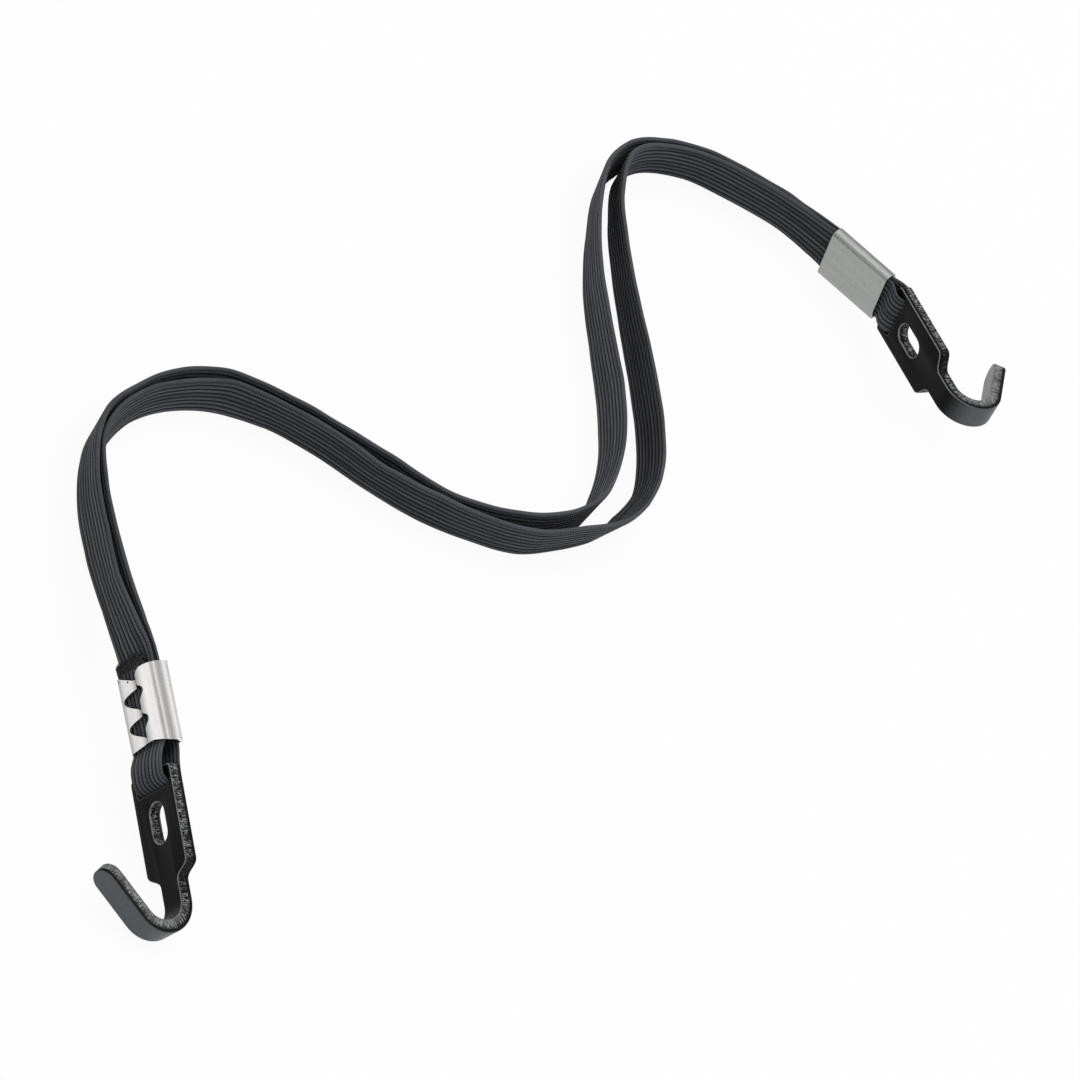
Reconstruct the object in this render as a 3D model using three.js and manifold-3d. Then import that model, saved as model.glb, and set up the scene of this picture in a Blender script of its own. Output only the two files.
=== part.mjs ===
// Two-strand elastic carrier strap with a flat steel hook and a crimped ferrule at each end.
// Millimetres, +Z up. The strap lies on edge on the plane z = 0, as it was set down.
import * as THREE from 'three';
import { mergeVertices } from 'three/addons/utils/BufferGeometryUtils.js';
import Module from 'manifold-3d';

const wasm = await Module();
wasm.setup();

const GAP = 0.3;                 // clearance between pieces that touch
const EASE = 0.15;               // play of a rubber thread in its cover

// Flat elastic band: a braided cover with rubber threads inside.
const BAND_WIDTH = 10;
const BAND_THICK = 1.1;
const COVER_WALL = 0.2;
const THREADS = 8;
const CAVITY_WIDTH = BAND_WIDTH - 2 * COVER_WALL;
const CAVITY_THICK = BAND_THICK - 2 * COVER_WALL;
const CAVITY_SPLITS = 4;
const THREAD_PITCH = CAVITY_WIDTH / THREADS;
const THREAD_WIDTH = THREAD_PITCH - 2 * EASE;
const THREAD_THICK = CAVITY_THICK - 2 * EASE;
const CRIMP = 0.7;               // part of the thickness left in a ferrule
const LAYER_PITCH = CRIMP * BAND_THICK + GAP;
const STRAND_STEPS = 48;         // stations along a free strand
const FINE_STEPS = 24;           // samples between two route points when they are set out
const BEND_LOAD = 20;            // length that a bend of one radian counts for
const STRAIGHT_LEAD = 2;         // straight stretch before a ferrule
const STUB = 2.3;                // cut end that stands out of the left ferrule

// Crimped sheet ferrule with a toothed seam on its front.
const SHEET = 0.5;
const FERRULE_LENGTH = 14.7;
const FERRULE_SIDE = 0.7;        // room beside the band in a ferrule
const FERRULE_WIDTH = BAND_WIDTH + 2 * (FERRULE_SIDE + SHEET);
const FERRULE_ROUND = 1.5;       // outer corner radius of the bent sheet
const SEAM_ACROSS = 0.6;         // place of the seam from the middle of the front
const SEAM_GAP = 0.4;
const TOOTH_DEPTH = 4.6;
const TOOTH_WIDTH = 4.1;
const TOOTH_PITCH = 5.3;
const TOOTH_LEAN = 1.1;          // tip of a notch from its middle, toward the strands
const TOOTH_SHIFT = 1.25;        // middle of the notched stretch, toward the hook
const TEETH = 2;
const CUTTER_DEPTH = 2 * SHEET;

// Stamped steel hook: a slotted plate, a neck and a bent J.
const PLATE_THICK = 2.5;
const PLATE_WIDTH = 11.8;
const PLATE_ROUND = 1.2;         // top corners
const BAR = 1.9;                 // plate left above the slot, which the band goes round
const PLATE_STRAIGHT = 17.6;     // top edge to the start of the shoulders
const NECK_START = 20.2;
const NECK_WIDTH = 5.2;
const SHOULDER_EASE = 0.6;       // share of a shoulder's length that each end runs on straight
const BEND_START = 24;
const BEND_RADIUS = 3.9;         // inside of the J
const BEND_ANGLE = 145;
const TIP_LENGTH = 11.2;         // end of the bend to the round end
const OVAL_WIDTH = 4.2;
const OVAL_LENGTH = 7.6;
const OVAL_WEB = 1.5;            // plate between slot and oval hole
const LOOP_INNER = Math.hypot(BAR, PLATE_THICK) / 2 + GAP;
const LOOP_MIDDLE = LOOP_INNER + BAND_THICK / 2;
const LOOP_OUTER = LOOP_INNER + BAND_THICK;
const SLOT_WIDTH = 9.2;
const SLOT_ROUND = 0.6;
const SLOT_END = LOOP_OUTER + GAP;                       // from the middle of the bar
const LOOP_SQUEEZE = (SLOT_WIDTH - 2 * GAP) / BAND_WIDTH;  // band drawn narrow in the slot
const LOOP_ARC_STEPS = 10;
const LOOP_LEG_STEPS = 4;
const LEG_PULL = 0.4;            // share of a leg's length that each end runs on straight
const LEFT_DROP = 7.35;          // free stretch of each loop, mouth of the ferrule to the bar
const RIGHT_DROP = 3.9;

// Units of the places and routes below: lengths on the ground, and heights.
const ROUTE_UNIT = 1;
const HEIGHT_UNIT = BAND_WIDTH / 10;

// Where the two ends lie: place, then heading, pitch and lean to the front, in degrees.
// A hook hangs from its ferrule in the direction given.
const LEFT_FERRULE = pose(laid([-31.7, -111.7, 10.2]), -38, -11, -1, 1);
const RIGHT_FERRULE = pose(laid([11.3, 111.2, 7.7]), -14, 12.5, -8, -1);
const LEFT_HOOK = pose(hung(LEFT_FERRULE, LEFT_DROP, [0.646, -0.762, -0.041]), -38.3, -12.9, -5, 1);
const RIGHT_HOOK = pose(hung(RIGHT_FERRULE, RIGHT_DROP, [0.943, -0.276, 0.187]), -36.3, 9.4, -2.6, -1);

// Free stretch of each strand between the ferrules: x, y, height of its middle, lean in degrees.
const BACK_ROUTE = [
  [-42.8, -103.2, 11.4, 3.8], [-50.9, -95.6, 9.2, 10.1], [-58.8, -86.6, 7.1, 4.5],
  [-66.6, -77, 5.7, 5.8], [-71.9, -68.6, 5.9, 7], [-74.6, -60.4, 5.5, 6.2], [-73.6, -51.9, 5.5, 5],
  [-70.8, -42.9, 5.1, 0.7], [-63.6, -33, 5.1, -0.8], [-52.9, -26.8, 5, -5], [-42.2, -23.1, 5.1, -6.5],
  [-31.4, -20.3, 5.1, -4.5], [-20, -17.5, 5, -7.5], [-11.3, -12.4, 5, -5.8], [-3.7, -5.6, 5.1, -4.4],
  [0.8, 1.6, 5, -4.5], [3.3, 9.1, 5.2, -0.5], [2.1, 17.4, 5.2, -2.9], [-1.3, 26.5, 5.4, -1],
  [-8, 37.3, 5.1, 0.8], [-17.4, 48.4, 5.4, 6], [-26.3, 59.7, 5.3, 9.3], [-33.6, 72.3, 5.1, 14.7],
  [-38.4, 84, 5.3, 13.9], [-38.2, 92, 5.1, 9.7], [-35.2, 99, 5.1, -4.4], [-27.8, 106.2, 5, -10],
  [-17.4, 111, 5.1, -10], [-7, 114.9, 4.9, -12.8],
];
const FRONT_ROUTE = [
  [-41.5, -101.6, 11.2, 8.6], [-49.5, -93.7, 9.2, 9.5], [-57.4, -85, 7.2, 8],
  [-65.2, -75.8, 5.7, 7.2], [-70.7, -67.8, 5.7, 10], [-71.8, -59.7, 5.1, 12], [-71, -51, 5.1, 5],
  [-67.8, -42.4, 5.1, 0.5], [-61.3, -34.2, 5.1, -1.6], [-51.7, -28.7, 5.4, -10.5],
  [-41.4, -24.9, 5.1, -11], [-30.6, -22.7, 4.9, -12.1], [-19.4, -19.1, 5, -8.2],
  [-10.1, -14.4, 5.1, -10.5], [-1.6, -8.2, 5.1, -9.2], [4.4, 0.4, 5.8, -9], [8.4, 9, 5.5, -15.8],
  [9.2, 17, 5.2, -17.8], [8.2, 26, 5.3, -5], [2.9, 36.2, 5.2, 0], [-6.2, 47.8, 5.2, 4.4],
  [-15.9, 58.3, 5.5, 8.8], [-24.7, 69.3, 5, 12], [-32.3, 79.6, 5.3, 14.5], [-36.5, 88.9, 6.1, 8.5],
  [-34.2, 97.7, 5.4, -4], [-26.7, 104.5, 5.9, -8.8], [-16.2, 108.8, 6.3, -4.5],
  [-6.1, 112.2, 6, -6.5],
];
const CENTRE_X = 13 * ROUTE_UNIT;  // brings the middle of the whole strap over the origin
const CENTRE_Y = 15.6 * ROUTE_UNIT;
const HELD_SHARES = [0.8, 0.4, 0];   // points of the back strand's end, in half ferrule lengths

function laid(place) {
  return [place[0] * ROUTE_UNIT, place[1] * ROUTE_UNIT, place[2] * HEIGHT_UNIT];
}

function hung(ferrule, drop, direction) {
  const way = new THREE.Vector3(...direction).normalize();
  return ferrule.at.clone().addScaledVector(way, FERRULE_LENGTH / 2 + drop).toArray();
}

// A place with its own axes: u out along the strap, w across the band, n out of the front.
// The right end is the same end turned half round about its own line.
function pose(at, heading, pitch, lean, turn) {
  const h = THREE.MathUtils.degToRad(heading);
  const p = THREE.MathUtils.degToRad(pitch);
  const u = new THREE.Vector3(Math.cos(h) * Math.cos(p), Math.sin(h) * Math.cos(p), Math.sin(p));
  const w = across(u, -lean * turn).multiplyScalar(turn);
  const n = new THREE.Vector3().crossVectors(u, w);
  return { at: new THREE.Vector3(...at), u, w, n, lean };
}

// Upright direction square to a tangent, leaned to the left of it by an angle in degrees.
function across(tangent, lean) {
  const up = new THREE.Vector3(0, 0, 1).addScaledVector(tangent, -tangent.z).normalize();
  return up.applyAxisAngle(tangent, -THREE.MathUtils.degToRad(lean));
}

function place(frame, along, outward) {
  return frame.at.clone().addScaledVector(frame.u, along).addScaledVector(frame.n, outward);
}

// Route of a flat band through stations that carry its width direction and how hard it is pressed.
class BandRoute extends THREE.Curve {
  constructor(stations) {
    super();
    this.stations = stations;
  }

  getSpacedPoints() {
    return this.stations.map((s) => s.at.clone());
  }

  computeFrenetFrames() {
    const list = this.stations;
    const tangents = list.map((s, i) => {
      const ahead = list[Math.min(i + 1, list.length - 1)].at;
      return ahead.clone().sub(list[Math.max(i - 1, 0)].at).normalize();
    });
    const normals = list.map((s) => s.width.clone());
    const binormals = list.map((s, i) => {
      const through = new THREE.Vector3().crossVectors(tangents[i], s.width).normalize();
      return through.multiplyScalar(s.press);
    });
    return { tangents, normals, binormals };
  }
}

function rectangle(width, height, middle) {
  const shape = new THREE.Shape();
  shape.moveTo(middle - width / 2, -height / 2);
  shape.lineTo(middle + width / 2, -height / 2);
  shape.lineTo(middle + width / 2, height / 2);
  shape.lineTo(middle - width / 2, height / 2);
  shape.closePath();
  return shape;
}

// Hollow of the cover, split across so that a twisted stretch keeps clear of the threads.
function cavitySection() {
  const path = new THREE.Path();
  const step = CAVITY_WIDTH / CAVITY_SPLITS;
  path.moveTo(-CAVITY_WIDTH / 2, -CAVITY_THICK / 2);
  for (let i = 1; i <= CAVITY_SPLITS; i += 1) {
    path.lineTo(i * step - CAVITY_WIDTH / 2, -CAVITY_THICK / 2);
  }
  for (let i = CAVITY_SPLITS; i >= 0; i -= 1) {
    path.lineTo(i * step - CAVITY_WIDTH / 2, CAVITY_THICK / 2);
  }
  path.closePath();
  return path;
}

// Flat band section with rounded edges, split across so that a twisted stretch stays true.
function bandSection(width, thick) {
  const shape = new THREE.Shape();
  const flat = width / 2 - thick / 2;
  const corner = thick / 2 * Math.SQRT1_2;
  const row = [-1, -1 / 3, 1 / 3, 1].map((k) => k * flat);
  shape.moveTo(row[0], -thick / 2);
  row.slice(1).forEach((x) => shape.lineTo(x, -thick / 2));
  shape.lineTo(flat + corner, -corner);
  shape.lineTo(flat + corner, corner);
  row.slice().reverse().forEach((x) => shape.lineTo(x, thick / 2));
  shape.lineTo(-flat - corner, corner);
  shape.lineTo(-flat - corner, -corner);
  shape.closePath();
  return shape;
}

function sweep(section, stations) {
  const route = new BandRoute(stations);
  return new THREE.ExtrudeGeometry(section, {
    steps: stations.length - 1, extrudePath: route, curveSegments: 1,
  });
}

// Stations of a free strand along a curve through its points, closer together where it bends.
function strandStations(points) {
  const curve = new THREE.CatmullRomCurve3(
    points.map((p) => new THREE.Vector3(p[0], p[1], p[2])), false, 'centripetal');
  const fine = FINE_STEPS * (points.length - 1);
  const load = [0];
  for (let i = 1; i <= fine; i += 1) {
    const run = curve.getPoint(i / fine).distanceTo(curve.getPoint((i - 1) / fine));
    const turn = curve.getTangent(i / fine).angleTo(curve.getTangent((i - 1) / fine));
    load.push(load[i - 1] + run + BEND_LOAD * turn);
  }
  const stations = [];
  for (let i = 0; i <= STRAND_STEPS; i += 1) {
    const wanted = load[fine] * i / STRAND_STEPS;
    const t = Math.min(load.filter((sum) => sum < wanted).length, fine) / fine;
    const slot = Math.min(Math.floor(t * (points.length - 1)), points.length - 2);
    const part = t * (points.length - 1) - slot;
    const mix = (k, usual) => THREE.MathUtils.lerp(
      points[slot][k] ?? usual, points[slot + 1][k] ?? usual, part);
    const width = across(curve.getTangent(t), mix(3, 0));
    stations.push({ at: curve.getPoint(t), width, press: mix(4, 1) });
  }
  return stations;
}

// A point of a strand held in a ferrule layer, in the same form as the points of a route.
function heldPoint(frame, along, outward) {
  return [...place(frame, along, outward).toArray(), frame.lean, CRIMP];
}

// Band held in a ferrule, drawn round the bar of a hook and back into the ferrule.
function loopStations(ferrule, hook, frontLayer, rearLayer, frontReach, rearReach) {
  const stations = [];
  const mouth = FERRULE_LENGTH / 2;
  const side = Math.sign(ferrule.w.dot(hook.w));
  const add = (at, blend, squeeze) => {
    const width = ferrule.w.clone().lerp(hook.w.clone().multiplyScalar(side), blend).normalize();
    const press = THREE.MathUtils.lerp(CRIMP, 1, blend);
    stations.push({ at, width: width.multiplyScalar(squeeze), press });
  };
  const leg = (from, to, outgoing) => {
    const pull = from.distanceTo(to) * LEG_PULL;
    const path = new THREE.CubicBezierCurve3(
      from, from.clone().addScaledVector(outgoing ? ferrule.u : hook.u, outgoing ? pull : -pull),
      to.clone().addScaledVector(outgoing ? hook.u : ferrule.u, outgoing ? -pull : pull), to);
    for (let i = 1; i < LOOP_LEG_STEPS; i += 1) {
      const blend = outgoing ? i / LOOP_LEG_STEPS : 1 - i / LOOP_LEG_STEPS;
      add(path.getPoint(i / LOOP_LEG_STEPS), blend, THREE.MathUtils.lerp(1, LOOP_SQUEEZE, blend));
    }
  };
  const front = place(ferrule, mouth, frontLayer);
  const rear = place(ferrule, mouth, rearLayer);
  const into = place(hook, 0, LOOP_MIDDLE);
  const outOf = place(hook, 0, -LOOP_MIDDLE);
  add(place(ferrule, -mouth - frontReach, frontLayer), 0, 1);
  add(front, 0, 1);
  leg(front, into, true);
  for (let i = 0; i <= LOOP_ARC_STEPS; i += 1) {
    const turn = Math.PI * i / LOOP_ARC_STEPS;
    const at = place(hook, LOOP_MIDDLE * Math.sin(turn), LOOP_MIDDLE * Math.cos(turn));
    add(at, 1, LOOP_SQUEEZE);
  }
  leg(outOf, rear, false);
  add(rear, 0, 1);
  add(place(ferrule, -mouth - rearReach, rearLayer), 0, 1);
  return stations;
}

function solid(geometry) {
  const bare = new THREE.BufferGeometry();
  bare.setAttribute('position', geometry.attributes.position);
  if (geometry.index) bare.setIndex(geometry.index);
  const merged = mergeVertices(bare, 1e-4);
  return new wasm.Manifold(new wasm.Mesh({
    numProp: 3,
    vertProperties: new Float32Array(merged.attributes.position.array),
    triVerts: new Uint32Array(merged.index.array),
  }));
}

function geometryOf(manifold) {
  const mesh = manifold.getMesh();
  const geometry = new THREE.BufferGeometry();
  geometry.setAttribute('position', new THREE.BufferAttribute(mesh.vertProperties, 3));
  geometry.setIndex(new THREE.BufferAttribute(mesh.triVerts, 1));
  return geometry;
}

// Hook about the middle of its slot bar: x toward the J, y across the plate, z to the front.
function hookGeometry() {
  const top = -BAR / 2;
  const half = PLATE_WIDTH / 2;
  const neck = NECK_WIDTH / 2;
  const shoulder = top + PLATE_STRAIGHT;
  const neckStart = top + NECK_START;
  const bend = top + BEND_START;
  const ease = (neckStart - shoulder) * SHOULDER_EASE;
  const plate = new THREE.Shape();
  plate.moveTo(top + PLATE_ROUND, -half);
  plate.lineTo(shoulder, -half);
  plate.bezierCurveTo(shoulder + ease, -half, neckStart - ease, -neck, neckStart, -neck);
  plate.lineTo(bend, -neck);
  plate.lineTo(bend, neck);
  plate.lineTo(neckStart, neck);
  plate.bezierCurveTo(neckStart - ease, neck, shoulder + ease, half, shoulder, half);
  plate.lineTo(top + PLATE_ROUND, half);
  plate.absarc(top + PLATE_ROUND, half - PLATE_ROUND, PLATE_ROUND, Math.PI / 2, Math.PI, false);
  plate.absarc(top + PLATE_ROUND, PLATE_ROUND - half, PLATE_ROUND, Math.PI, 1.5 * Math.PI, false);

  const slot = new THREE.Path();
  const near = BAR / 2 + SLOT_ROUND;
  const far = SLOT_END - SLOT_ROUND;
  const reach = SLOT_WIDTH / 2 - SLOT_ROUND;
  slot.absarc(far, reach, SLOT_ROUND, 0, Math.PI / 2, false);
  slot.absarc(near, reach, SLOT_ROUND, Math.PI / 2, Math.PI, false);
  slot.absarc(near, -reach, SLOT_ROUND, Math.PI, 1.5 * Math.PI, false);
  slot.absarc(far, -reach, SLOT_ROUND, 1.5 * Math.PI, 2 * Math.PI, false);
  slot.closePath();

  const oval = new THREE.Path();
  const ovalRound = OVAL_WIDTH / 2;
  const ovalNear = SLOT_END + OVAL_WEB + ovalRound;
  const ovalFar = ovalNear + OVAL_LENGTH - OVAL_WIDTH;
  oval.absarc(ovalFar, 0, ovalRound, -Math.PI / 2, Math.PI / 2, false);
  oval.absarc(ovalNear, 0, ovalRound, Math.PI / 2, 1.5 * Math.PI, false);
  oval.closePath();
  plate.holes.push(slot, oval);
  const flat = new THREE.ExtrudeGeometry(plate, {
    depth: PLATE_THICK, bevelEnabled: false, curveSegments: 5,
  });
  flat.translate(0, 0, -PLATE_THICK / 2);

  // The J from the end of the neck: bent strip, then a straight tip with a full round end.
  const angle = THREE.MathUtils.degToRad(BEND_ANGLE);
  const centre = PLATE_THICK / 2 + BEND_RADIUS;
  const outer = BEND_RADIUS + PLATE_THICK;
  const tipFlat = TIP_LENGTH - neck;
  const along = [Math.cos(angle) * tipFlat, Math.sin(angle) * tipFlat];
  const start = -Math.PI / 2;
  const strip = new THREE.Shape();
  strip.absarc(bend, centre, outer, start, start + angle, false);
  const outerEnd = strip.currentPoint.clone();
  strip.lineTo(outerEnd.x + along[0], outerEnd.y + along[1]);
  const innerEnd = [bend + BEND_RADIUS * Math.cos(start + angle),
    centre + BEND_RADIUS * Math.sin(start + angle)];
  strip.lineTo(innerEnd[0] + along[0], innerEnd[1] + along[1]);
  strip.absarc(bend, centre, BEND_RADIUS, start + angle, start, true);
  strip.closePath();
  const curl = new THREE.ExtrudeGeometry(strip, {
    depth: NECK_WIDTH, bevelEnabled: false, curveSegments: 14,
  });
  curl.rotateX(Math.PI / 2);
  curl.translate(0, neck, 0);

  const end = new THREE.Shape();
  end.absarc(0, 0, neck, -Math.PI / 2, Math.PI / 2, false);
  end.closePath();
  const round = new THREE.ExtrudeGeometry(end, {
    depth: PLATE_THICK, bevelEnabled: false, curveSegments: 10,
  });
  round.rotateY(-angle);
  round.translate(outerEnd.x + along[0], 0, outerEnd.y + along[1]);
  return geometryOf(solid(flat).add(solid(curl)).add(solid(round)));
}

// Ferrule about its middle: x along the strap, y across the band, z to the seam.
function ferruleGeometry(layers) {
  const thick = layers * LAYER_PITCH + GAP + 2 * SHEET;
  const half = FERRULE_WIDTH / 2;
  const front = thick / 2;
  const section = new THREE.Shape();
  const corner = (r, kx, ky, from, back) => section.absarc(
    kx * (half - FERRULE_ROUND), ky * (front - FERRULE_ROUND), r,
    from * Math.PI / 2, (from + (back ? -1 : 1)) * Math.PI / 2, back);
  const inner = FERRULE_ROUND - SHEET;
  section.moveTo(SEAM_ACROSS - SEAM_GAP / 2, front);
  corner(FERRULE_ROUND, -1, 1, 1, false);
  corner(FERRULE_ROUND, -1, -1, 2, false);
  corner(FERRULE_ROUND, 1, -1, 3, false);
  corner(FERRULE_ROUND, 1, 1, 0, false);
  section.lineTo(SEAM_ACROSS + SEAM_GAP / 2, front);
  section.lineTo(SEAM_ACROSS + SEAM_GAP / 2, front - SHEET);
  corner(inner, 1, 1, 1, true);
  corner(inner, 1, -1, 0, true);
  corner(inner, -1, -1, 3, true);
  corner(inner, -1, 1, 2, true);
  section.lineTo(SEAM_ACROSS - SEAM_GAP / 2, front - SHEET);
  section.closePath();
  const tube = new THREE.ExtrudeGeometry(section, {
    depth: FERRULE_LENGTH, bevelEnabled: false, curveSegments: 5,
  });
  tube.translate(0, 0, -FERRULE_LENGTH / 2);
  tube.rotateY(Math.PI / 2);
  tube.rotateX(Math.PI / 2);

  let body = solid(tube);
  const seamEdge = SEAM_ACROSS + SEAM_GAP;
  for (let i = 0; i < TEETH; i += 1) {
    const middle = TOOTH_SHIFT + (i - (TEETH - 1) / 2) * TOOTH_PITCH;
    const notch = new THREE.Shape();
    notch.moveTo(middle - TOOTH_WIDTH / 2, seamEdge);
    notch.lineTo(middle - TOOTH_LEAN, SEAM_ACROSS - TOOTH_DEPTH);
    notch.lineTo(middle + TOOTH_WIDTH / 2, seamEdge);
    notch.closePath();
    const cutter = new THREE.ExtrudeGeometry(notch, { depth: CUTTER_DEPTH, bevelEnabled: false });
    cutter.translate(0, 0, front - (SHEET + CUTTER_DEPTH) / 2);
    body = body.subtract(solid(cutter));
  }
  return geometryOf(body);
}

const PAINT = { color: 0x141416, roughness: 0.25, metalness: 0.3 };
const PLATED = { color: 0xb9bab6, roughness: 0.35, metalness: 1.0 };
const BRAID = { color: 0x26282b, roughness: 0.85, metalness: 0.0 };
const RUBBER = { color: 0x3a342c, roughness: 0.7, metalness: 0.0 };

const strap = new THREE.Group();
strap.name = 'elastic_carrier_strap';
strap.position.set(CENTRE_X, CENTRE_Y, 0);

function addPiece(name, geometry, look, frame) {
  const mesh = new THREE.Mesh(geometry, new THREE.MeshStandardMaterial(look));
  mesh.name = name;
  if (frame) {
    mesh.position.copy(frame.at);
    const axes = new THREE.Matrix4().makeBasis(frame.u, frame.w, frame.n);
    mesh.quaternion.setFromRotationMatrix(axes);
  }
  strap.add(mesh);
}

function addStrand(name, stations) {
  const cover = bandSection(BAND_WIDTH, BAND_THICK);
  cover.holes.push(cavitySection());
  addPiece(`${name}_cover`, sweep(cover, stations), BRAID);
  for (let i = 0; i < THREADS; i += 1) {
    const middle = (i - (THREADS - 1) / 2) * THREAD_PITCH;
    const thread = rectangle(THREAD_WIDTH, THREAD_THICK, middle);
    addPiece(`${name}_thread_${i + 1}`, sweep(thread, stations), RUBBER);
  }
}

// The left ferrule holds the cut end in front, the back strand's end and the front strand.
// The right ferrule holds the two strands as they turn round the right hook.
const mouth = -FERRULE_LENGTH / 2 - GAP;
const lead = mouth - STRAIGHT_LEAD;
const backStart = HELD_SHARES.map((k) => heldPoint(LEFT_FERRULE, k * FERRULE_LENGTH / 2, 0));
const routed = (route) => route.map((p) => [...laid(p), p[3]]);
const backLead = heldPoint(LEFT_FERRULE, lead, 0);
const backEnd = [lead, mouth].map((x) => heldPoint(RIGHT_FERRULE, x, LAYER_PITCH / 2));
const frontStart = [mouth, lead].map((x) => heldPoint(LEFT_FERRULE, x, -LAYER_PITCH));
const frontEnd = [lead, mouth].map((x) => heldPoint(RIGHT_FERRULE, x, -LAYER_PITCH / 2));
addStrand('back_strand', strandStations([...backStart, backLead, ...routed(BACK_ROUTE), ...backEnd]));
addStrand('front_strand', strandStations([...frontStart, ...routed(FRONT_ROUTE), ...frontEnd]));

const band = bandSection(BAND_WIDTH, BAND_THICK);
addPiece('left_loop', sweep(band, loopStations(
  LEFT_FERRULE, LEFT_HOOK, LAYER_PITCH, -LAYER_PITCH, STUB, 0)), BRAID);
addPiece('right_loop', sweep(band, loopStations(
  RIGHT_FERRULE, RIGHT_HOOK, LAYER_PITCH / 2, -LAYER_PITCH / 2, 0, 0)), BRAID);
addPiece('left_ferrule', ferruleGeometry(3), PLATED, LEFT_FERRULE);
addPiece('right_ferrule', ferruleGeometry(2), PLATED, RIGHT_FERRULE);
addPiece('left_hook', hookGeometry(), PAINT, LEFT_HOOK);
addPiece('right_hook', hookGeometry(), PAINT, RIGHT_HOOK);

export default strap;
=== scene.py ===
"""Looks of a two-strand elastic carrier strap with two stamped hooks and two crimped ferrules."""
import math

import bmesh
import bpy
import numpy as np
from mathutils import Matrix, Vector


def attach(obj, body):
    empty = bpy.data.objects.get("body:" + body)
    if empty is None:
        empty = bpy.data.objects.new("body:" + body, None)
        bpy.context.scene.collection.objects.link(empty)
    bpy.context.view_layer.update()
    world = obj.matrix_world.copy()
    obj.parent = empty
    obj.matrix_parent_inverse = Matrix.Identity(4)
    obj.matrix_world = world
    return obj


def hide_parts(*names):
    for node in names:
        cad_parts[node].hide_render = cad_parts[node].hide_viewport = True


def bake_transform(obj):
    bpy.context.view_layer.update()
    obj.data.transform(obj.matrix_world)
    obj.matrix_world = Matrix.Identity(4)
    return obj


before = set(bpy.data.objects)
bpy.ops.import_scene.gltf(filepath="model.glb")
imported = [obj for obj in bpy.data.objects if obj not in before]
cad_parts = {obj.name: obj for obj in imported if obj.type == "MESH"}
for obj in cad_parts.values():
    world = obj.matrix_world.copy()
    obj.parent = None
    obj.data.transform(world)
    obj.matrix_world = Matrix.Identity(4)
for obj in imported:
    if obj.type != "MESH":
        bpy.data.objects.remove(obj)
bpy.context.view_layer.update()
rng = np.random.default_rng(7)
MM = 0.001

# Sizes that the solids have too, in millimetres.
CENTRE = np.array([13.0, 15.6, 0.0])
GAP = 0.3
BAND_WIDTH = 10.0
BAND_THICK = 1.1
RIBS = 8
CRIMP = 0.7
LAYER_PITCH = CRIMP * BAND_THICK + GAP
STRAIGHT_LEAD = 2.0
STUB = 2.3
SHEET = 0.5
FERRULE_LENGTH = 14.7
MOUTH = -FERRULE_LENGTH / 2
PLATE_THICK = 2.5
PLATE_WIDTH = 11.8
BAR = 1.9
NECK_WIDTH = 5.2
BEND_START = 24.0
BEND_RADIUS = 3.9
BEND_ANGLE = math.radians(145)
TIP_LENGTH = 11.2
OVAL_WIDTH = 4.2
OVAL_LENGTH = 7.6
SLOT_WIDTH = 9.2
SLOT_ROUND = 0.6

# Sizes of the looks alone, in millimetres. The solids leave more running room between bar, loop and
# slot, and their plates have other corners and shoulders.
PLATE_LIP = 0.18
PLATE_ROUND = 0.8
PLATE_STRAIGHT = 17.3
NECK_START = 20.6
SHOULDER_START = PLATE_STRAIGHT - BAR / 2
SHOULDER_END = NECK_START - BAR / 2
OVAL_WEB = 1.9
LOOP_ROOM = 0.05
LOOP_PRESS = 0.72
LOOP_INNER = math.hypot(BAR, PLATE_THICK) / 2 + LOOP_ROOM
LOOP_MIDDLE = LOOP_INNER + LOOP_PRESS * BAND_THICK / 2
SLOT_ROOM = 0.15
SLOT_END = LOOP_INNER + LOOP_PRESS * BAND_THICK + SLOT_ROOM

# Camera of the photo: height angle, turn of the picture, distance and field of view.
VIEW_HEIGHT = math.radians(43)
VIEW_TURN = math.radians(42)
VIEW_DISTANCE = 1.5
VIEW_REACH = 20
LENS = 264.7
SENSOR = 36.0

# Free stretch of each strand between the ferrules: x, y, height of its middle, lean in degrees.
# By the ferrules and at the left arch it lies up to 0.9 mm off the solids, as in the photo.
BACK_ROUTE = [
    (-42.8, -103.2, 11.1, 3.8), (-50.9, -95.6, 9.2, 10.1), (-58.8, -86.6, 7.1, 4.5),
    (-66.6, -77, 5.7, 5.8), (-71.9, -68.6, 5.9, 7), (-74.2, -60.4, 5.5, 6.2), (-73.2, -51.9, 5.5, 5),
    (-70.8, -42.9, 5.1, 0.7), (-63.6, -33, 5.1, -0.8), (-52.9, -26.8, 5, -5),
    (-42.2, -23.1, 5.1, -6.5), (-31.4, -20.3, 5.1, -4.5), (-20, -17.5, 5, -7.5),
    (-11.3, -12.4, 5, -5.8), (-3.7, -5.6, 5.1, -4.4), (0.8, 1.6, 5, -4.5), (3.3, 9.1, 5.2, -0.5),
    (2.1, 17.4, 5.2, -2.9), (-1.3, 26.5, 5.4, -1), (-8, 37.3, 5.1, 0.8), (-17.4, 48.4, 5.4, 6),
    (-26.3, 59.7, 5.3, 9.3), (-33.6, 72.3, 5.1, 14.7), (-38.4, 84, 5.3, 13.9), (-38.2, 92, 5.1, 9.7),
    (-35.2, 99, 5.1, -4.4), (-27.8, 106.2, 5, -10), (-17.4, 111, 5.1, -10), (-7, 114.2, 4.9, -12.8),
]
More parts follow.
